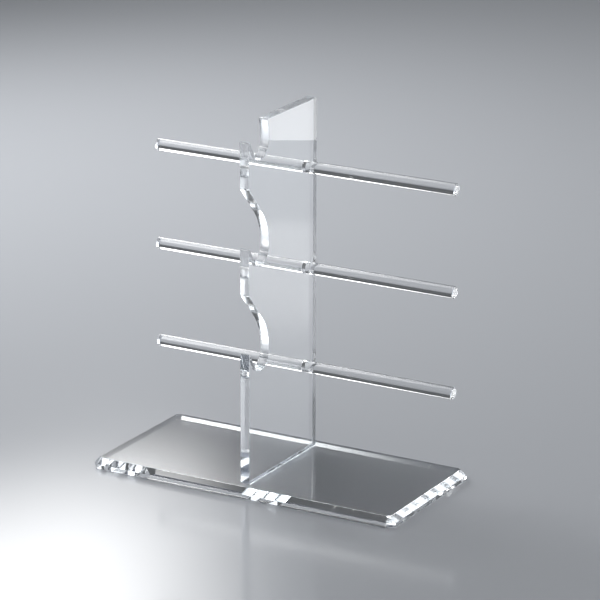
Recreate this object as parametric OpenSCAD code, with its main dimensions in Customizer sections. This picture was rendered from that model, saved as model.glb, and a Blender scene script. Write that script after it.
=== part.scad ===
// Clear acrylic display stand that holds three pairs of eyeglasses one above the other.
// An upright panel stands on a bevelled base. Its front edge has a hooked nose rest for each
// pair, and a round rod pushed through the panel behind each rest carries the two temples.
// Frame: origin under the middle of the base, +X along the rods, -Y towards the viewer, +Z up.

/* [Base] */
// Length of the base, along the rods
base_length = 168; // [140:1:260]
// Depth of the base, front to back
base_depth = 80; // [76:1:140]
// Thickness of the base sheet
base_thickness = 5; // [4:0.5:10]
// Width of the 45 degree bevel around the top edge of the base
base_bevel = 2.8; // [0.5:0.1:3.5]
// Length cut off each side of a base corner
corner_cut = 3.5; // [1:0.5:10]

/* [Upright panel] */
// Thickness of the upright sheet
panel_thickness = 5; // [4:0.5:10]
// Depth of the panel, front edge to back edge
panel_depth = 65; // [60:1:70]
// Height of the top edge above the table
total_height = 183; // [180:1:240]
// Distance from the front of the base to the front edge of the panel
panel_setback = 6.5; // [4:0.5:8]

/* [Nose rests] */
// Height of the tip of the top hook above the table
hook_height = 175; // [172:0.5:176]
// Distance between hooks
hook_pitch = 52.2; // [50:0.1:55]
// Width of the tip of a hook
tip_width = 1; // [0.8:0.1:2]
// Depth of the notch below the tip of its hook
notch_depth = 10.5; // [9.5:0.1:12]
// Distance from the front edge of the panel to the back of a notch
throat_depth = 18.9; // [18.5:0.1:22]
// Slope of the side of the notch behind the tip of its hook
hook_slope = 58.5; // [56:0.5:70]
// Height of the straight front face of the two upper hooks
hook_face = 22.8; // [20:0.1:25]
// Slope of the underside of the two upper hooks
underside_slope = 48; // [44:0.5:50]

/* [Temple rods] */
// Diameter of a rod
rod_diameter = 6; // [4:0.1:8]
// Length of a rod
rod_length = 166; // [120:1:220]
// Height of the axis of the top rod above the table
rod_height = 150; // [146:0.5:156]
// Distance between rods
rod_pitch = 50.8; // [48:0.1:52]
// Distance from the back edge of the panel to the rod axes
rod_inset = 8.1; // [6.5:0.1:12]
// Gap all round a rod in its hole
rod_clearance = 0.05; // [0.02:0.01:0.1]

/* [Hidden] */

TIERS = 3;
TOP = 0;
MIDDLE = 1;
BOTTOM = 2;

// radii of the sawn and polished outline
notch_radius = 8.4;
heel_radius = 5;
shoulder_radius = 24;
bend_radius = 3;
tip_radius = 0.4;
corner_radius = 0.8;
// the back of the top notch is upright up to a little above the tip, then leans forward
lean = 1.3;
lean_start = 1.5;
arc_step = 4;

// solvent cement between the panel and the base, with a bead along both sides
cement_film = 0.1;
cement_bead = 0.4;

rod_chamfer = 0.4;
round_sides = 96;
overshoot = 1;

seam_top = base_thickness + cement_film;
panel_height = total_height - seam_top;
panel_front = panel_setback - base_depth / 2;
rod_y = panel_front + panel_depth - rod_inset;

clear_acrylic = [0.82, 0.89, 0.92, 0.45];
clear_rod = [0.88, 0.93, 0.96, 0.6];
cement_white = [0.96, 0.98, 1, 0.8];

function unit(v) = v / norm(v);
function rod_z(tier) = rod_height - tier * rod_pitch;
function tip_z(tier) = hook_height - seam_top - tier * hook_pitch;

// Points of the arc that rounds the corner at b, on the way from a to c
function rounded_corner(a, b, c, radius) =
    let (
        back = unit(a - b),
        ahead = unit(c - b),
        half_angle = acos(back * ahead) / 2,
        centre = b + unit(back + ahead) * radius / sin(half_angle),
        start = b + back * radius / tan(half_angle) - centre,
        start_angle = atan2(start.y, start.x),
        sweep = -sign(cross(back, ahead)) * (180 - 2 * half_angle),
        steps = ceil(abs(sweep) / arc_step)
    )
    [for (i = [0:steps]) centre + radius * [cos(start_angle + sweep * i / steps), sin(start_angle + sweep * i / steps)]];

// An outline from a list of [corner, radius], where a radius of 0 leaves the corner sharp
function rounded_outline(corners) =
    let (last = len(corners) - 1)
    [for (i = [0:last])
        let (
            before = corners[i == 0 ? last : i - 1][0],
            here = corners[i][0],
            after = corners[i == last ? 0 : i + 1][0],
            radius = corners[i][1]
        )
        each radius == 0 ? [here] : rounded_corner(before, here, after, radius)];

// Corners of one hook and its notch, from the back of the notch round the tip to the front
function hook_corners(tier) =
    let (
        tip = tip_z(tier),
        floor_z = tip - notch_depth,
        heel = tip_width + notch_depth / tan(hook_slope)
    )
    [
        [[throat_depth, floor_z], notch_radius],
        [[heel, floor_z], heel_radius],
        [[tip_width, tip], tip_radius],
        [[0, tip], tip_radius],
    ];

// Corners of the curve from the front of one hook down to the back of the notch below
function shoulder_corners(tier) =
    let (bend = tip_z(tier) - hook_face)
    [
        [[0, bend], bend_radius],
        [[throat_depth, bend - throat_depth * tan(underside_slope)], shoulder_radius],
    ];

// Side view of the panel: depth from its front edge, height from its foot
function panel_outline() = rounded_outline([
    [[0, 0], 0],
    [[panel_depth, 0], 0],
    [[panel_depth, panel_height], corner_radius],
    [[throat_depth - lean, panel_height], corner_radius],
    [[throat_depth, tip_z(TOP) + lean_start], shoulder_radius],
    for (tier = [0:TIERS - 1])
        each concat(hook_corners(tier), tier < TIERS - 1 ? shoulder_corners(tier) : []),
]);

// Endless bar of the base's thickness, with its two top edges bevelled, lying along +Y
module bevelled_bar(width, length)
    rotate([90, 0, 0])
        linear_extrude(length, center = true)
            polygon([
                [-width / 2, 0],
                [width / 2, 0],
                [width / 2, base_thickness - base_bevel],
                [width / 2 - base_bevel, base_thickness],
                [base_bevel - width / 2, base_thickness],
                [-width / 2, base_thickness - base_bevel],
            ]);

// A plate is what its four bevelled bars share: lengthwise, crosswise and on both diagonals
module base_plate() {
    across_corners = (base_length + base_depth - 2 * corner_cut) / sqrt(2);
    bar_length = base_length + base_depth;
    color(clear_acrylic)
        intersection() {
            bevelled_bar(base_length, bar_length);
            rotate([0, 0, 90]) bevelled_bar(base_depth, bar_length);
            rotate([0, 0, 45]) bevelled_bar(across_corners, bar_length);
            rotate([0, 0, -45]) bevelled_bar(across_corners, bar_length);
        }
}

module upright_panel()
    color(clear_acrylic)
        difference() {
            translate([0, panel_front, seam_top])
                rotate([90, 0, 90])
                    linear_extrude(panel_thickness, center = true)
                        polygon(panel_outline());
            for (tier = [0:TIERS - 1])
                translate([0, rod_y, rod_z(tier)])
                    rotate([0, 90, 0])
                        cylinder(h = panel_thickness + 2 * overshoot, d = rod_diameter + 2 * rod_clearance,
                                 center = true, $fn = round_sides);
        }

module cement_seam() {
    half = panel_thickness / 2;
    color(cement_white)
        translate([0, panel_front + panel_depth, base_thickness])
            rotate([90, 0, 0])
                linear_extrude(panel_depth)
                    polygon([
                        [-half - cement_bead, 0],
                        [half + cement_bead, 0],
                        [half, cement_bead],
                        [half, cement_film],
                        [-half, cement_film],
                        [-half, cement_bead],
                    ]);
}

module temple_rod(tier) {
    radius = rod_diameter / 2;
    color(clear_rod)
        translate([-rod_length / 2, rod_y, rod_z(tier)])
            rotate([0, 90, 0])
                rotate_extrude($fn = round_sides)
                    polygon([
                        [0, 0],
                        [radius - rod_chamfer, 0],
                        [radius, rod_chamfer],
                        [radius, rod_length - rod_chamfer],
                        [radius - rod_chamfer, rod_length],
                        [0, rod_length],
                    ]);
}

base_plate();
upright_panel();
cement_seam();
temple_rod(TOP);  // rod_top
temple_rod(MIDDLE);  // rod_middle
temple_rod(BOTTOM);  // rod_bottom
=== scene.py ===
"""Clear acrylic display stand for three pairs of glasses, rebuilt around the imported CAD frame."""

import math

import bmesh
import bpy
from mathutils import Matrix, Vector
from mathutils.geometry import delaunay_2d_cdt


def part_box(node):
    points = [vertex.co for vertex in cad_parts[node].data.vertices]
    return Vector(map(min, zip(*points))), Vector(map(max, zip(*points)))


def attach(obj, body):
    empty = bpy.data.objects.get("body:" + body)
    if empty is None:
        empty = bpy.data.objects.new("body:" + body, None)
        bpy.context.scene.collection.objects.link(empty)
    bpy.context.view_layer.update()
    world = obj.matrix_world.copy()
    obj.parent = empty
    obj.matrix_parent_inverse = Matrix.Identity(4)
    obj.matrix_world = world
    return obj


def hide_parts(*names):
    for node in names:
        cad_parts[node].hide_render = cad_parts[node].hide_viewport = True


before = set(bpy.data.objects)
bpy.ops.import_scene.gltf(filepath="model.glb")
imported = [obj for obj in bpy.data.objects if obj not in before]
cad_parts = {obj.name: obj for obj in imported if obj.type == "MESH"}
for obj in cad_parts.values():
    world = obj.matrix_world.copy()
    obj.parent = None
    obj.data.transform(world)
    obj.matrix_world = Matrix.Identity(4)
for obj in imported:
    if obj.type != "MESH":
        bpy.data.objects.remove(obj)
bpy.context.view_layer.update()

MM = 0.001

# Outline of the panel, as in the CAD source: tiers, hooks and notches
TIERS = ("top", "middle", "bottom")
HOOK_HEIGHT = 175 * MM
HOOK_PITCH = 52.2 * MM
TIP_WIDTH = 1 * MM
NOTCH_DEPTH = 10.5 * MM
THROAT_DEPTH = 18.9 * MM
HOOK_SLOPE = math.radians(58.5)
HOOK_FACE = 22.8 * MM
UNDERSIDE_SLOPE = math.radians(48)
NOTCH_RADIUS = 8.4 * MM
HEEL_RADIUS = 5 * MM
SHOULDER_RADIUS = 24 * MM
BEND_RADIUS = 3 * MM
TIP_RADIUS = 0.4 * MM
CORNER_RADIUS = 0.8 * MM
FOOT_RADIUS = 0.3 * MM
LEAN = 1.3 * MM
LEAN_START = 1.5 * MM
ARC_STEP = math.radians(2)
LEAST_ARC_STEPS = 3

# Holes and rods
HOLE_GAP = 0.05 * MM
HOLE_SIDES = 96
ROD_CHAMFER = 0.4 * MM
ROD_SIDES = 128

# Base plate
BASE_BEVEL = 2.8 * MM
CORNER_CUT = 3.5 * MM

# How far polishing has rounded the arrises, and crowned the panel's edges between them
SHEET_ARRIS = 0.18 * MM
HOLE_ARRIS = 0.12 * MM
BASE_ARRIS = 0.16 * MM
ROD_ARRIS = 0.12 * MM
ARRIS_STEPS = 3
EDGE_CROWN = math.radians(0.5)
FLAT = 1e-6
CROWN_STEPS = 4
# an outward normal that points down more than this belongs to the panel's foot
FOOT_NORMAL = -0.99
# where an arris of radius 1 that turns by 45 degrees meets the faces on each side of it
TANGENT = math.tan(math.pi / 8)

# Cement: a film, and a bead whose width changes along the joint by a slow swell and a fine ripple
CEMENT_FILM = 0.1 * MM
CEMENT_BEAD = 0.39 * MM
CEMENT_GAP = 0.01 * MM
BEAD_MEAN, BEAD_SWELL, BEAD_RIPPLE = 0.78, 0.16, 0.06
# a bead's face is a little hollow: its middle lies at this share of its width and height
BEAD_HOLLOW = 0.44
# the strips bonded to the beads stop this far from the ends of the panel
BOND_END = 0.5 * MM
SEAM_STEPS = 130

# Material slots of a cut sheet
FACE, EDGE, BONDED = 0, 1, 2
# Material slots of the cement, and the sides of its section that are not bonded to anything
CEMENT, CEMENT_BONDED = 0, 1
BEAD_FACES = (1, 2, 6, 7)


# ---------------------------------------------------------------- outlines

def rounded_corner(before, here, after, radius):
    """Points and outward normals of the arc that rounds a corner of a counter-clockwise outline."""
    back = (before - here).normalized()
    ahead = (after - here).normalized()
    half = math.acos(max(-1, min(1, back.dot(ahead)))) / 2
    centre = here + (back + ahead).normalized() * (radius / math.sin(half))
    start = here + back * (radius / math.tan(half)) - centre
    turn = -math.copysign(1, back.x * ahead.y - back.y * ahead.x)
    sweep = turn * (math.pi - 2 * half)
    steps = max(LEAST_ARC_STEPS, math.ceil(abs(sweep) / ARC_STEP))
    first = math.atan2(start.y, start.x)
    out = []
    for i in range(steps + 1):
        angle = first + sweep * i / steps
        way = Vector((math.cos(angle), math.sin(angle)))
        out.append((centre + way * radius, way * turn))
    return out


def rounded_outline(corners):
    """[(point, outward normal)] of a closed counter-clockwise outline from [((x, y), radius)]."""
    points = [Vector(p) for p, _ in corners]
    out = []
    for i, (_, radius) in enumerate(corners):
        out += rounded_corner(points[i - 1], points[i], points[(i + 1) % len(points)], radius)
    return out


def panel_outline(depth, height, foot):
    """Side view of the panel: depth from its front edge, height from its foot."""
    tips = [HOOK_HEIGHT - foot - tier * HOOK_PITCH for tier in range(len(TIERS))]
    corners = [
        ((0, 0), FOOT_RADIUS),
        ((depth, 0), FOOT_RADIUS),
        ((depth, height), CORNER_RADIUS),
        ((THROAT_DEPTH - LEAN, height), CORNER_RADIUS),
        ((THROAT_DEPTH, tips[0] + LEAN_START), SHOULDER_RADIUS),
    ]
    for tip in tips:
        floor = tip - NOTCH_DEPTH
        corners += [
            ((THROAT_DEPTH, floor), NOTCH_RADIUS),
            ((TIP_WIDTH + NOTCH_DEPTH / math.tan(HOOK_SLOPE), floor), HEEL_RADIUS),
            ((TIP_WIDTH, tip), TIP_RADIUS),
            ((0, tip), TIP_RADIUS),
        ]
        if tip != tips[-1]:
            bend = tip - HOOK_FACE
            drop = THROAT_DEPTH * math.tan(UNDERSIDE_SLOPE)
            corners += [
                ((0, bend), BEND_RADIUS),
                ((THROAT_DEPTH, bend - drop), SHOULDER_RADIUS),
            ]
    return rounded_outline(corners)


# ---------------------------------------------------------------- meshes

def from_above(p):
    return Vector((p.x, p.y))


def from_the_side(p):
    return Vector((p.y, p.z))


class MeshMaker:
    """Collects vertices with their normals and faces with their material slot, and makes an object."""

    def __init__(self):
        self.points, self.normals, self.faces, self.slots = [], [], [], []

    def ring(self, points, normals=()):
        """Adds points and returns their numbers. A part given no normals is shaded flat."""
        first = len(self.points)
        self.points += [Vector(p) for p in points]
        self.normals += [Vector(n).normalized() for n in normals]
        return list(range(first, len(self.points)))

    def face(self, loop, slot):
        self.faces.append(tuple(loop))
        self.slots.append(slot)

    def strip(self, low, high, slot):
        """Quads between two closed rings. slot is a number or a function of the place in the ring."""
        count = len(low)
        for i in range(count):
            j = (i + 1) % count
            self.face((low[i], low[j], high[j], high[i]), slot(i) if callable(slot) else slot)

    def strips(self, rings, slot):
        for low, high in zip(rings, rings[1:]):
            self.strip(low, high, slot)

    def cap(self, outer, holes, flat, slot):
        """Fills a flat region bounded by the ring outer and the rings holes.
        flat gives a vertex's place in the plane."""
        numbers = [n for loop in [outer, *holes] for n in loop]
        place = [flat(self.points[n]) for n in numbers]
        edges, first = [], 0
        for loop in [outer, *holes]:
            count = len(loop)
            edges += [(first + i, first + (i + 1) % count) for i in range(count)]
            first += count
        _, _, triangles, _, _, _ = delaunay_2d_cdt(place, edges, [list(range(len(outer)))], 1, 1e-9)
        hole_places = [[flat(self.points[n]) for n in loop] for loop in holes]
        for tri in triangles:
            centre = sum((place[i] for i in tri), Vector((0, 0))) / len(tri)
            if not any(inside(centre, loop) for loop in hole_places):
                self.face([numbers[i] for i in tri], slot)

    def finish(self, name, materials):
        mesh = bpy.data.meshes.new(name)
        mesh.from_pydata(self.points, [], self.faces)
        for material in materials:
            mesh.materials.append(material)
        mesh.polygons.foreach_set("material_index", self.slots)
        if self.normals:
            turn_outward(mesh, self.normals)
            mesh.polygons.foreach_set("use_smooth", [True] * len(mesh.polygons))
            mesh.update()
            mesh.normals_split_custom_set_from_vertices([tuple(n) for n in self.normals])
        else:
            solid = bmesh.new()
            solid.from_mesh(mesh)
            bmesh.ops.recalc_face_normals(solid, faces=solid.faces)
            solid.to_mesh(mesh)
            solid.free()
        return link(name, mesh)


def link(name, data):
    """A new object in the scene."""
    obj = bpy.data.objects.new(name, data)
    bpy.context.scene.collection.objects.link(obj)
    return obj


def inside(point, loop):
    """True if a point in the plane lies inside a closed loop."""
    result = False
    for i, a in enumerate(loop):
        b = loop[i - 1]
        if (a.y > point.y) != (b.y > point.y):
            if point.x < (b.x - a.x) * (point.y - a.y) / (b.y - a.y) + a.x:
                result = not result
    return result


def turn_outward(mesh, normals):
    """Flips each face whose winding disagrees with the normals of its corners."""
    for polygon in mesh.polygons:
        wanted = sum((normals[v] for v in polygon.vertices), Vector())
        if polygon.normal.dot(wanted) < 0:
            polygon.flip()


def turns(start, end, steps):
    """Cosine and sine of evenly spaced angles, both ends included."""
    angles = [start + (end - start) * i / steps for i in range(steps + 1)]
    return [(math.cos(angle), math.sin(angle)) for angle in angles]


def edge_profile(half, arris, crown):
    """Across a cut edge from the high face to the low face: [(x, inset, normal's x part, normal's outward part)].
    Between its rounded arrises the edge is crowned, so that its normal turns by crown to each side."""
    radius = (half - arris * (1 - math.sin(crown))) / math.sin(crown)
    sag = radius * (1 - math.cos(crown))
    profile = [
        (half - arris * (1 - cos), sag + arris * (math.cos(crown) - sin), cos, sin)
        for cos, sin in turns(0, math.pi / 2 - crown, ARRIS_STEPS)[:-1]
    ]
    profile += [(radius * sin, radius * (1 - cos), sin, cos) for cos, sin in turns(crown, 0, CROWN_STEPS)]
    return profile + [(-x, inset, -across, out) for x, inset, across, out in reversed(profile[:-1])]


def sheet_part(name, outline, holes, x_low, x_high, bonds, slot_of, materials):
    """A sheet standing across X, with rounded arrises along its outline and its round holes.
    outline is [((y, z), normal)] and holes is [(centre, radius)] in (y, z). Its foot is flat, and its other
    edges are crowned. bonds holds the outline of the bonded strip of the high face and of the low face, in
    (y, z). slot_of gives the material slot of each part of the outline."""
    maker = MeshMaker()
    middle, half = (x_low + x_high) / 2, (x_high - x_low) / 2

    def rings(pairs, arris, crown):
        profiles = [edge_profile(half, arris, crown if n.y > FOOT_NORMAL else FLAT) for _, n in pairs]
        return [
            maker.ring(
                [(middle + x, p.x - n.x * inset, p.y - n.y * inset)
                 for (p, n), (x, inset, _, _) in zip(pairs, level)],
                [(across, n.x * out, n.y * out) for (_, n), (_, _, across, out) in zip(pairs, level)],
            )
            for level in zip(*profiles)
        ]

    outer = rings(outline, SHEET_ARRIS, EDGE_CROWN)
    maker.strips(outer, slot_of)
    bores = []
    for centre, radius in holes:
        ways = [Vector(way) for way in turns(0, -2 * math.pi, HOLE_SIDES)[:-1]]
        bores.append(rings([(centre + way * radius, -way) for way in ways], HOLE_ARRIS, FLAT))
        maker.strips(bores[-1], EDGE)

    for end, x, across, bond in ((0, x_high, 1, bonds[0]), (-1, x_low, -1, bonds[1])):
        patch = maker.ring([(x, y, z) for y, z in bond], [(across, 0, 0)] * len(bond))
        maker.cap(outer[end], [patch] + [bore[end] for bore in bores], from_the_side, FACE)
        maker.cap(patch, [], from_the_side, BONDED)
    return maker.finish(name, materials)


def plate_outline(half_length, half_depth, cut, inward):
    """The base's outline, moved inward, with its eight corners just broken."""
    x, y = half_length - inward, half_depth - inward
    tuck = cut + inward * (math.sqrt(2) - 1)
    x_cut, y_cut = half_length - tuck, half_depth - tuck
    corners = [
        (x, -y_cut), (x, y_cut), (x_cut, y), (-x_cut, y),
        (-x, y_cut), (-x, -y_cut), (-x_cut, -y), (x_cut, -y),
    ]
    return rounded_outline([(c, BASE_ARRIS) for c in corners])


def plate_profile(thickness, bevel, arris):
    """[(inward, height, normal's outward part, normal's upward part)] from the underside to the top face."""
    side = thickness - bevel - arris * TANGENT
    underside = turns(-math.pi / 2, 0, ARRIS_STEPS)
    bevel_foot = turns(0, math.pi / 4, ARRIS_STEPS)
    bevel_head = turns(math.pi / 4, math.pi / 2, ARRIS_STEPS)
    return (
        [(arris * (1 - cos), arris * (1 + sin), cos, sin) for cos, sin in underside]
        + [(arris * (1 - cos), side + arris * sin, cos, sin) for cos, sin in bevel_foot]
        + [(bevel + arris * (TANGENT - cos), thickness - arris * (1 - sin), cos, sin) for cos, sin in bevel_head]
    )


def plate_part(name, low, high, bond, materials):
    """The base: bevelled all round on top. bond outlines the strip that the cement is bonded to, in (x, y)."""
    maker = MeshMaker()
    half_length, half_depth = (high.x - low.x) / 2, (high.y - low.y) / 2
    centre = (low + high) / 2
    rings = []
    for inward, z, out, up in plate_profile(high.z - low.z, BASE_BEVEL, BASE_ARRIS):
        pairs = plate_outline(half_length, half_depth, CORNER_CUT, inward)
        rings.append(maker.ring(
            [(centre.x + p.x, centre.y + p.y, low.z + z) for p, _ in pairs],
            [(n.x * out, n.y * out, up) for _, n in pairs],
        ))
    maker.strips(rings, EDGE)
    maker.cap(rings[0], [], from_above, FACE)
    patch = maker.ring([(x, y, high.z) for x, y in bond], [(0, 0, 1)] * len(bond))
    maker.cap(rings[-1], [patch], from_above, FACE)
    maker.cap(patch, [], from_above, BONDED)
    return maker.finish(name, materials)


def rod_profile(radius, length):
    """[(x, radius, normal's x part, normal's outward part)] along a rod, its chamfers softened at both sides."""
    face_side = radius - ROD_CHAMFER - ROD_ARRIS * TANGENT
    wall_side = ROD_CHAMFER + ROD_ARRIS * TANGENT
    end = [
        (ROD_ARRIS * (1 - cos), face_side + ROD_ARRIS * sin, -cos, sin)
        for cos, sin in turns(0, math.pi / 4, ARRIS_STEPS)
    ]
    end += [
        (wall_side - ROD_ARRIS * cos, radius - ROD_ARRIS * (1 - sin), -cos, sin)
        for cos, sin in turns(math.pi / 4, math.pi / 2, ARRIS_STEPS)
    ]
    return end + [(length - x, r, -along, out) for x, r, along, out in reversed(end)]


def rod_part(name, low, high, materials):
    """A round rod along X with polished ends and softened chamfers."""
    maker = MeshMaker()
    axis = (low + high) / 2
    profile = rod_profile((high.z - low.z) / 2, high.x - low.x)
    ways = turns(0, 2 * math.pi, ROD_SIDES)[:-1]
    rings = [
        maker.ring(
            [(low.x + x, axis.y + r * y, axis.z + r * z) for y, z in ways],
            [(along, out * y, out * z) for y, z in ways],
        )
        for x, r, along, out in profile
    ]
    wall = len(rings) // 2
    maker.strips(rings[:wall], EDGE)
    maker.strip(rings[wall - 1], rings[wall], FACE)
    maker.strips(rings[wall:], EDGE)
    maker.face(rings[0], EDGE)
    maker.face(rings[-1], EDGE)
    return maker.finish(name, materials)


def bead_sizes(y):
    """Width of the bead of cement at y on the right and the left of the panel, uneven as a syringe leaves it."""
    run = y / MM
    swells = (math.sin(run * 0.7 + 2) * math.sin(run * 0.31), math.sin(run * 0.9) * math.sin(run * 0.23 + 1))
    ripples = (math.sin(run * 2.7 + 1), math.sin(run * 3.1))
    return [
        CEMENT_BEAD * (BEAD_MEAN + BEAD_SWELL * swell + BEAD_RIPPLE * ripple)
        for swell, ripple in zip(swells, ripples)
    ]


def stations(start, end):
    return [start + (end - start) * i / SEAM_STEPS for i in range(SEAM_STEPS + 1)]


def seam_part(name, low, high, half_panel, materials):
    """The cement: a thin film under the panel's foot and a fine bead along both of its sides, all of it
    bonded to the sheet without a gap that would reflect."""
    maker = MeshMaker()
    film_low, film_high = low.z + CEMENT_GAP, low.z + CEMENT_FILM - CEMENT_GAP
    inner = half_panel + CEMENT_GAP
    rings = []
    for y in stations(low.y, high.y):
        right, left = [
            [
                (inner, film_high),
                (inner, film_low + size),
                (inner + size * BEAD_HOLLOW, film_low + size * BEAD_HOLLOW),
                (inner + size, film_low),
                (inner, film_low),
            ]
            for size in bead_sizes(y)
        ]
        section = right + [(-x, z) for x, z in reversed(left)]
        rings.append(maker.ring([(x, y, z) for x, z in section]))
    maker.strips(rings, lambda i: CEMENT if i in BEAD_FACES else CEMENT_BONDED)
    maker.face(rings[0], CEMENT)
    maker.face(rings[-1], CEMENT)
    return maker.finish(name, materials)


# ---------------------------------------------------------------- materials

class Nodes:
    """Short names for building a node tree. A value is a number or a socket."""

    def __init__(self, tree):
        self.tree = tree

    def link(self, source, socket):
        self.tree.links.new(source, socket)

    def add(self, kind, **inputs):
        """A new node. Names of inputs are written with _ for a space."""
        node = self.tree.nodes.new("ShaderNode" + kind)
        for key, value in inputs.items():
            self.put(value, node.inputs[key.replace("_", " ")])
        return node

    def put(self, value, socket):
        if isinstance(value, bpy.types.NodeSocket):
            self.link(value, socket)
        else:
            socket.default_value = value

    def math(self, operation, *values):
        node = self.tree.nodes.new("ShaderNodeMath")
        node.operation = operation
        for value, socket in zip(values, node.inputs):
            self.put(value, socket)
        return node.outputs["Value"]

    def remap(self, value, low, high, to_low, to_high, kind="LINEAR"):
        node = self.add("MapRange", Value=value, From_Min=low, From_Max=high, To_Min=to_low, To_Max=to_high)
        node.interpolation_type = kind
        return node.outputs["Result"]

    def fade(self, value, low, high, top=1):
        """Rises smoothly from 0 where value is low to top where it is high."""
        return self.remap(value, low, high, 0, top, "SMOOTHSTEP")


class Surface(Nodes):
    """A material with a Principled shader."""

    def __init__(self, name):
        self.material = bpy.data.materials.new(name)
        self.material.use_nodes = True
        super().__init__(self.material.node_tree)
        self.shader = self.tree.nodes["Principled BSDF"]

    def noise(self, scale, detail, stretch=(1, 1, 1)):
        """Noise in the object's own space. A small number in stretch draws it out along that axis."""
        place = self.add("Mapping", Vector=self.add("TexCoord").outputs["Object"], Scale=stretch)
        return self.add("TexNoise", Vector=place.outputs["Vector"], Scale=scale, Detail=detail).outputs["Fac"]

    def set(self, socket, value):
        self.put(value, self.shader.inputs[socket])

    def bump(self, height, strength, distance):
        self.set("Normal", self.add("Bump", Height=height, Strength=strength, Distance=distance).outputs["Normal"])


def clear(name, ior=1.49):
    """Clear plastic with acrylic's refraction, and its faint cool tint by depth."""
    m = Surface(name)
    tone = m.remap(m.noise(9, 2), 0.3, 0.7, 0.99, 1)
    m.set("Base Color", m.add("CombineColor", Red=tone, Green=0.997, Blue=1).outputs["Color"])
    m.set("Transmission Weight", 1)
    m.set("IOR", ior)
    absorb = m.add("VolumeAbsorption", Color=(0.78, 0.93, 1, 1), Density=0.2)
    m.link(absorb.outputs["Volume"], m.tree.nodes["Material Output"].inputs["Volume"])
    return m


def sheet_face_material():
    """Cast sheet: almost flawless, with faint smears and a few hairline scratches."""
    m = clear("acrylic_sheet")
    smear = m.remap(m.noise(18, 3), 0.5, 0.75, 0, 0.03)
    hairline = m.remap(m.noise(420, 1, (1, 0.03, 0.06)), 0.72, 0.78, 0, 0.1)
    m.set("Roughness", m.math("ADD", m.math("ADD", smear, hairline), 0.004))
    m.bump(m.noise(26, 1), 0.02, 0.25 * MM)
    return m.material


def cut_edge_material():
    """Sawn and polished bevels of the base: fine marks left by the cutter."""
    m = clear("acrylic_cut_edge")
    marks = m.noise(900, 2, (0.02, 1, 1))
    m.set("Roughness", m.remap(marks, 0.35, 0.75, 0.012, 0.07))
    m.bump(marks, 0.04, 0.06 * MM)
    return m.material


def milled_edge_material():
    """Edge of the panel, milled along its curves and lightly polished, with faint marks across the sheet."""
    m = clear("acrylic_milled_edge")
    marks = m.noise(700, 2, (0.03, 1, 1))
    patches = m.remap(m.noise(60, 2), 0.3, 0.7, 0.09, 0.17)
    m.set("Roughness", m.math("ADD", patches, m.remap(marks, 0.4, 0.7, -0.02, 0.02)))
    m.bump(marks, 0.03, 0.05 * MM)
    return m.material


def bonded_material():
    """Where solvent has made the pieces one: light passes straight on, but for tiny bubbles."""
    m = clear("acrylic_bonded", 1)
    m.set("Roughness", m.remap(m.noise(1200, 2), 0.62, 0.7, 0, 0.3))
    return m.material


def rod_material():
    """Extruded rod: faint lines along its length from the die."""
    m = clear("acrylic_rod")
    lines = m.noise(500, 2, (0.004, 1, 1))
    m.set("Roughness", m.remap(lines, 0.4, 0.8, 0.006, 0.04))
    m.bump(lines, 0.05, 0.05 * MM)
    return m.material


def rod_end_material():
    """Rod end: faced and polished, with faint marks."""
    m = clear("acrylic_rod_end")
    marks = m.noise(700, 2)
    m.set("Roughness", m.remap(marks, 0.35, 0.75, 0.02, 0.09))
    m.bump(marks, 0.08, 0.05 * MM)
    return m.material


def cement_material():
    """Set solvent cement: clear with faint specks and tiny bubbles."""
    m = clear("set_cement")
    specks = m.noise(1500, 3)
    tone = m.remap(specks, 0.4, 0.65, 0.9, 1)
    blue = m.remap(specks, 0.4, 0.65, 0.93, 1)
    m.set("Base Color", m.add("CombineColor", Red=tone, Green=tone, Blue=blue).outputs["Color"])
    m.set("Roughness", m.remap(specks, 0.5, 0.75, 0.25, 0.55))
    m.bump(specks, 0.2, 0.03 * MM)
    return m.material


def floor_material():
    """Plain pale table with a soft sheen."""
    m = Surface("pale_table")
    m.set("Base Color", (0.485, 0.5, 0.53, 1))
    m.set("Roughness", m.remap(m.noise(3, 2), 0.3, 0.7, 0.1, 0.14))
    m.set("IOR", 1.5)
    return m.material


# ---------------------------------------------------------------- the stand

sheet_face = sheet_face_material()
bonded = bonded_material()
rod_finish = [rod_material(), rod_end_material()]

panel_low, panel_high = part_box("upright_panel")
base_low, base_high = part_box("base_plate")
seam_low, seam_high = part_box("cement_seam")
rods = {tier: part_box("rod_" + tier) for tier in TIERS}

corner = from_the_side(panel_low)
size = panel_high - panel_low
outline = [(p + corner, n) for p, n in panel_outline(size.y, size.z, panel_low.z)]
holes = [(from_the_side((low + high) / 2), (high.z - low.z) / 2 + HOLE_GAP) for low, high in rods.values()]


def foot_or_edge(i):
    """The outline's foot is bonded to the base, and the rest of it is a milled edge."""
    lowest = panel_low.z + CEMENT_GAP
    ends = outline[i], outline[(i + 1) % len(outline)]
    return BONDED if all(p.y < lowest for p, _ in ends) else EDGE


def panel_bond(side):
    """Outline of the strip of a face of the panel that its bead of cement is bonded to, in (y, z)."""
    run = stations(seam_low.y + BOND_END, seam_high.y - BOND_END)
    lower = panel_low.z + SHEET_ARRIS + CEMENT_GAP
    upper = [max(seam_low.z + CEMENT_GAP + bead_sizes(y)[side], lower + CEMENT_GAP) for y in run]
    return [(y, lower) for y in run] + list(zip(run, upper))[::-1]


def base_bond():
    """Outline of the strip of the base that the cement is bonded to, in (x, y)."""
    run = stations(seam_low.y, seam_high.y)
    right = [(panel_high.x + bead_sizes(y)[0], y) for y in run]
    left = [(panel_low.x - bead_sizes(y)[1], y) for y in run]
    return right + left[::-1]


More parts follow.
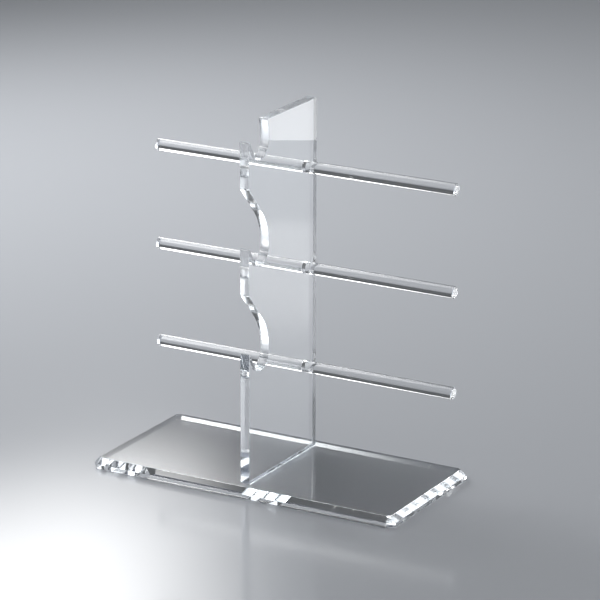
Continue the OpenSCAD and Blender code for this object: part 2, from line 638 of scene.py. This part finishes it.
panel = sheet_part(
    "nose_rest_panel", outline, holes, panel_low.x, panel_high.x, [panel_bond(0), panel_bond(1)],
    foot_or_edge, [sheet_face, milled_edge_material(), bonded],
)
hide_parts("upright_panel")
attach(panel, "stand")

base = plate_part(
    "bevelled_base", base_low, base_high, base_bond(), [sheet_face, cut_edge_material(), bonded]
)
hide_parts("base_plate")
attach(base, "stand")

seam = seam_part("cement_joint", seam_low, seam_high, size.x / 2, [cement_material(), bonded])
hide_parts("cement_seam")
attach(seam, "stand")

for tier, (low, high) in rods.items():
    rod = rod_part("temple_rod_" + tier, low, high, rod_finish)
    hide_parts("rod_" + tier)
    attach(rod, tier + "_rod")


# ---------------------------------------------------------------- studio

FLOOR_HALF = 6
FLOOR_DROP = 0.05 * MM

# Azimuths are measured from +Y towards +X, as seen from above
SOFTBOX_TARGET = (0, 0, 0.06)
SOFTBOX_EDGE = 0.2
# azimuth, elevation, distance, width and height, radiance
SOFTBOXES = {
    "left_softbox": (-60, 34, 0.9, (1.0, 0.6), 6),
    "right_softbox": (48, 56, 1.6, (1.2, 1.2), 1.4),
    "overhead_softbox": (150, 82, 1.8, (1.7, 1.7), 0.8),
}
# the low board behind on the right, whose reflection lights the top of the panel
BOARD = (31, 0, 0.53, (0.3, 0.07), 2.6)
BOARD_TARGET = (0, 0, 0.062)

# The room glows evenly, with soft bright walls: azimuth, radiance, and the cosines of the angle from the
# wall's middle at which it starts and is full. Walls fade out with height between two sines of elevation.
ROOM_COLOUR = (0.9, 0.95, 1, 1)
ROOM_GLOW = 0.12
WALLS = [(-80, 1.4, 0.76, 0.96), (60, 0.6, 0.3, 0.95), (30, 2.2, 0.85, 0.98)]
WALL_FULL, WALL_END = 0.25, 0.5


def direction(azimuth, elevation=0):
    a, e = math.radians(azimuth), math.radians(elevation)
    return Vector((math.sin(a) * math.cos(e), math.cos(a) * math.cos(e), math.sin(e)))


def softbox(name, target, azimuth, elevation, distance, size, radiance):
    """A rectangular area light that faces target."""
    light = bpy.data.lights.new(name, "AREA")
    light.shape = "RECTANGLE"
    light.size, light.size_y = size
    light.energy = radiance * size[0] * size[1] * math.pi
    obj = link(name, light)
    aim = Vector(target)
    obj.location = aim + distance * direction(azimuth, elevation)
    obj.rotation_euler = (aim - obj.location).to_track_quat("-Z", "Y").to_euler()
    return obj


def fade_light(light):
    """Fades a softbox towards its rim, as its cloth does."""
    light.use_nodes = True
    n = Nodes(light.node_tree)
    place = n.add("SeparateXYZ", Vector=n.add("NewGeometry").outputs["Parametric"])
    fades = [n.fade(n.math("PINGPONG", place.outputs[axis], 0.5), 0, SOFTBOX_EDGE) for axis in ("X", "Y")]
    n.link(n.math("MULTIPLY", *fades), n.tree.nodes["Emission"].inputs["Strength"])


def studio_walls():
    """World light: a dim room with soft bright walls."""
    world = bpy.data.worlds.new("studio")
    bpy.context.scene.world = world
    world.use_nodes = True
    n = Nodes(world.node_tree)
    background = n.tree.nodes["Background"]
    background.inputs["Color"].default_value = ROOM_COLOUR
    way = n.add("TexCoord").outputs["Generated"]
    low = n.fade(n.add("SeparateXYZ", Vector=way).outputs["Z"], WALL_END, WALL_FULL)
    total = ROOM_GLOW
    for azimuth, radiance, start, full in WALLS:
        towards = n.tree.nodes.new("ShaderNodeVectorMath")
        towards.operation = "DOT_PRODUCT"
        n.link(way, towards.inputs[0])
        towards.inputs[1].default_value = direction(azimuth)
        wall = n.math("MULTIPLY", n.fade(towards.outputs["Value"], start, full, radiance), low)
        total = n.math("ADD", wall, total)
    n.link(total, background.inputs["Strength"])


floor_mesh = bpy.data.meshes.new("table_top")
floor_corners = [(-FLOOR_HALF, -FLOOR_HALF, 0), (FLOOR_HALF, -FLOOR_HALF, 0),
                 (FLOOR_HALF, FLOOR_HALF, 0), (-FLOOR_HALF, FLOOR_HALF, 0)]
floor_mesh.from_pydata(floor_corners, [], [(0, 1, 2, 3)])
floor_mesh.materials.append(floor_material())
floor = link("table_top", floor_mesh)
floor.location.z = base_low.z - FLOOR_DROP

for name, settings in SOFTBOXES.items():
    fade_light(softbox(name, SOFTBOX_TARGET, *settings).data)
board = softbox("right_board", BOARD_TARGET, *BOARD)
board.visible_camera = False
board.visible_diffuse = False
board.visible_transmission = False
studio_walls()

# Camera at the photograph's viewing angle
AZIMUTH, PITCH, ROLL = math.radians(29.506), math.radians(17.628), math.radians(0.150)
CAMERA_PLACE = Vector((0.79908, -1.39216, 0.59882))
FOCAL_PIXELS, PICTURE_PIXELS, SENSOR = 3489.8, 600, 36
back = Vector((math.sin(AZIMUTH) * math.cos(PITCH), -math.cos(AZIMUTH) * math.cos(PITCH), math.sin(PITCH)))
right = Vector((math.cos(AZIMUTH), math.sin(AZIMUTH), 0))
up = back.cross(right)
camera_x = math.cos(ROLL) * right + math.sin(ROLL) * up
camera_y = -math.sin(ROLL) * right + math.cos(ROLL) * up
camera_data = bpy.data.cameras.new("camera")
camera_data.sensor_width = SENSOR
camera_data.lens = FOCAL_PIXELS / PICTURE_PIXELS * SENSOR
camera_data.clip_start, camera_data.clip_end = 0.05, 50
camera = link("camera", camera_data)
turn = Matrix((camera_x, camera_y, back)).transposed().to_4x4()
camera.matrix_world = Matrix.Translation(CAMERA_PLACE) @ turn
bpy.context.scene.camera = camera

# Light trapped in the sheets is reflected inside them many times before it leaves
TRAPPED_BOUNCES = 160
scene = bpy.context.scene
scene.view_settings.view_transform = "Standard"
scene.cycles.use_denoising = True
scene.cycles.max_bounces = TRAPPED_BOUNCES
scene.cycles.transmission_bounces = TRAPPED_BOUNCES
scene.cycles.glossy_bounces = TRAPPED_BOUNCES
scene.cycles.diffuse_bounces = 3
